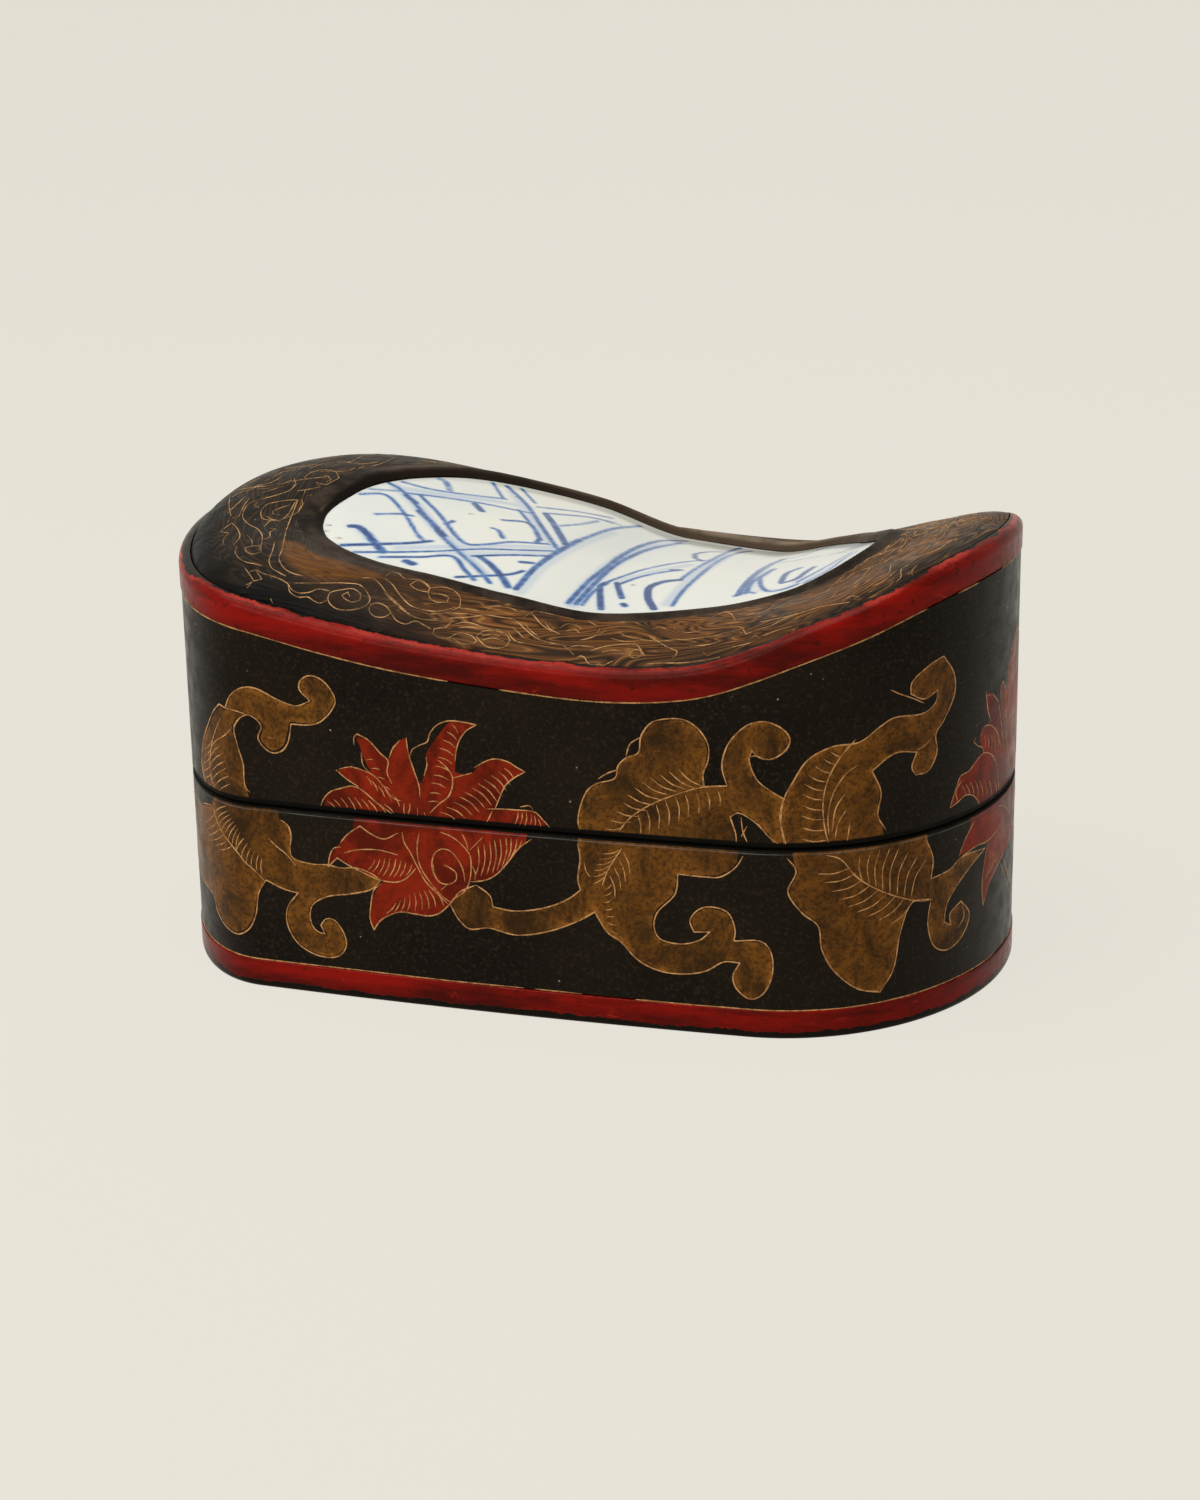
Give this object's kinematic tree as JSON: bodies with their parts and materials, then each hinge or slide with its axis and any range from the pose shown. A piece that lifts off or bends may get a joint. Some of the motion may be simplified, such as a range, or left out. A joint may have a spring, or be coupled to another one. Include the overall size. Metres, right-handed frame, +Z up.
{
  "type": "lacquer box",
  "caption": "Oblong lacquered wooden box with rounded ends, red bands and a lift-off saddle-shaped lid set with a curved porcelain piece.",
  "frame": {"origin": "on the resting plane, under the middle of the box", "axes": "+Z up, X along the length, -Y towards the front, +X towards the end where the lid's edge rises highest"},
  "size_m": [0.1806, 0.106, 0.0991],
  "materials": {
    "black_lacquer": "polished black-brown lacquer over wood, with painted and incised gold scrolls",
    "red_lacquer": "glossy vermilion lacquer over wood, worn at its edges",
    "inner_lacquer": "satin black lacquer over wood",
    "putty": "matt lacquer putty",
    "porcelain": "opaque glazed white porcelain with underglaze blue painting"
  },
  "bodies": {
    "base": {"base_floor": "inner_lacquer", "base_wall": "black_lacquer", "base_collar": "inner_lacquer", "base_foot_band": "red_lacquer"},
    "lid": {"lid_wall": "black_lacquer", "lid_edge_band": "red_lacquer", "lid_top_board": "black_lacquer", "shard_putty_bed": "putty", "porcelain_shard": "porcelain", "shard_bezel": "black_lacquer"}
  },
  "joints": [
    {"name": "lid_lift", "type": "slide", "parent": "base", "child": "lid", "axis": [0, 0, 1], "range_m": [0, 0.12]}
  ]
}
